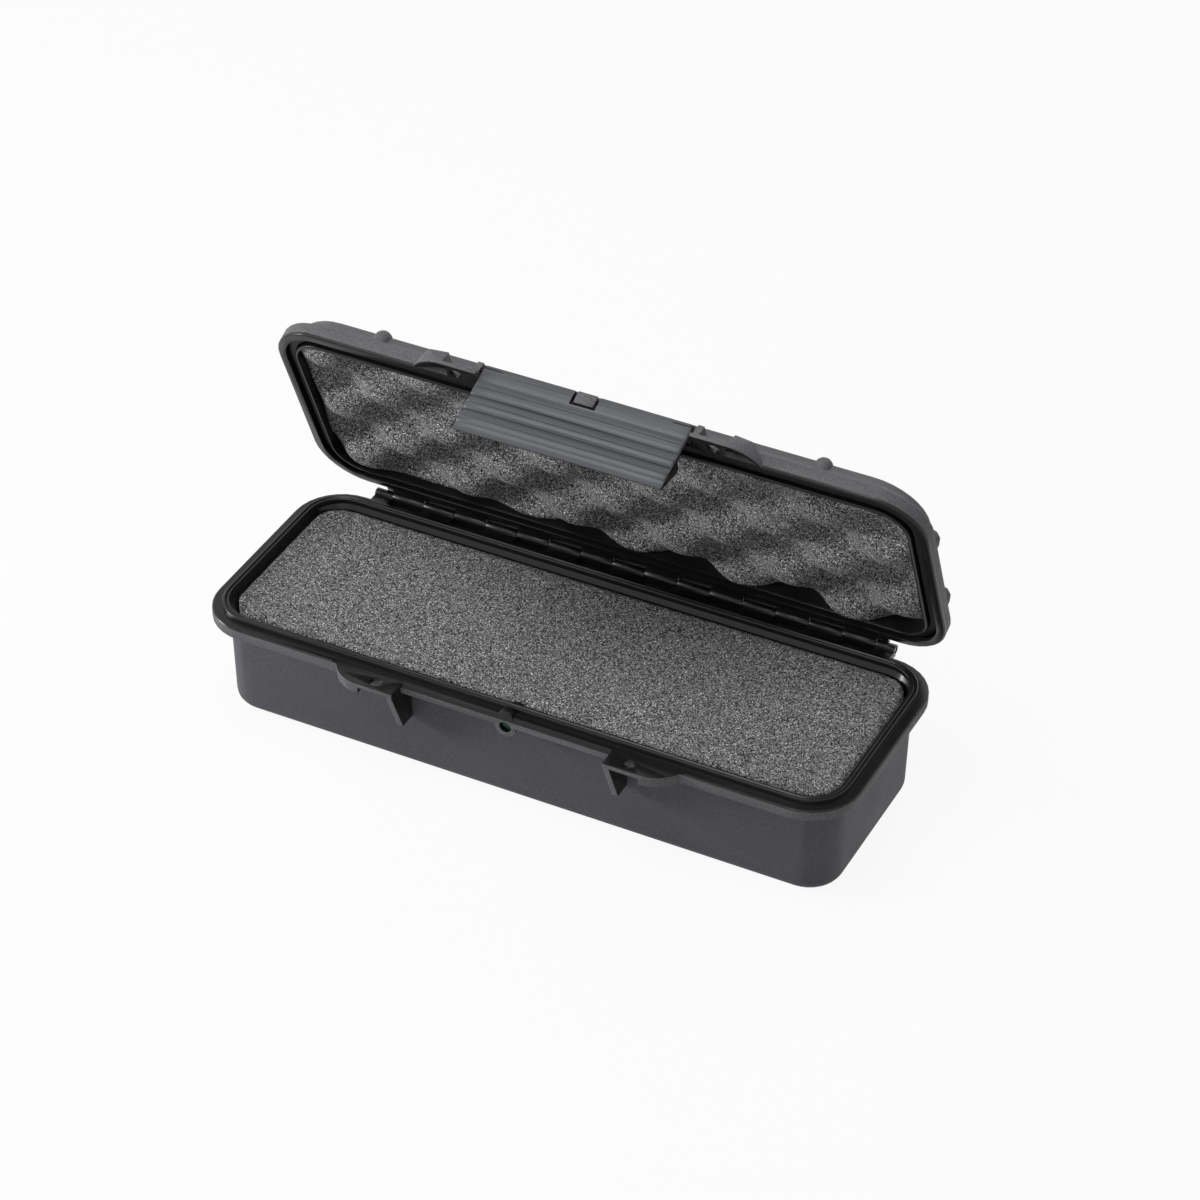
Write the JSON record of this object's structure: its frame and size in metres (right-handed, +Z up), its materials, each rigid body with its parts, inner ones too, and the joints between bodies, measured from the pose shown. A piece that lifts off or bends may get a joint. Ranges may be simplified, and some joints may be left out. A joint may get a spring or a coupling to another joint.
{
  "type": "hard case",
  "caption": "Long narrow hard case with a hinged lid, one wide draw latch, padlock eyes, a pressure valve and foam lining, shown open.",
  "frame": {"origin": "centre of the tub's flat underside, which the case stands on", "axes": "+X along the case's length, -Y towards the latch, +Z up"},
  "size_m": [0.4048, 0.1814, 0.2235],
  "materials": {
    "shell": "fine moulded texture",
    "latch_plastic": "satin",
    "foam": "open cell foam",
    "seal_rubber": "satin",
    "pin_steel": "satin",
    "valve_plastic": "satin",
    "membrane": "matt film"
  },
  "bodies": {
    "base": {"base_shell": "shell", "hinge_pin": "pin_steel", "base_foam_pad": "foam", "base_foam_block": "foam", "valve_body": "valve_plastic", "valve_membrane": "membrane", "valve_washer": "seal_rubber"},
    "lid": {"lid_shell": "shell", "lid_seal": "seal_rubber", "lid_foam": "foam", "latch_pin": "pin_steel"},
    "latch": {"latch_plate": "latch_plastic"}
  },
  "joints": [
    {"name": "lid_hinge", "type": "hinge", "parent": "base", "child": "lid", "pos_m": [0, 0.08051, 0.06795], "axis": [-1, 0, 0], "range_deg": [-67.24, 37.76]},
    {"name": "latch_hinge", "type": "hinge", "parent": "lid", "child": "latch", "pos_m": [0, 0.02525, 0.21917], "axis": [-1, 0, 0], "range_deg": [-17, 100]}
  ]
}
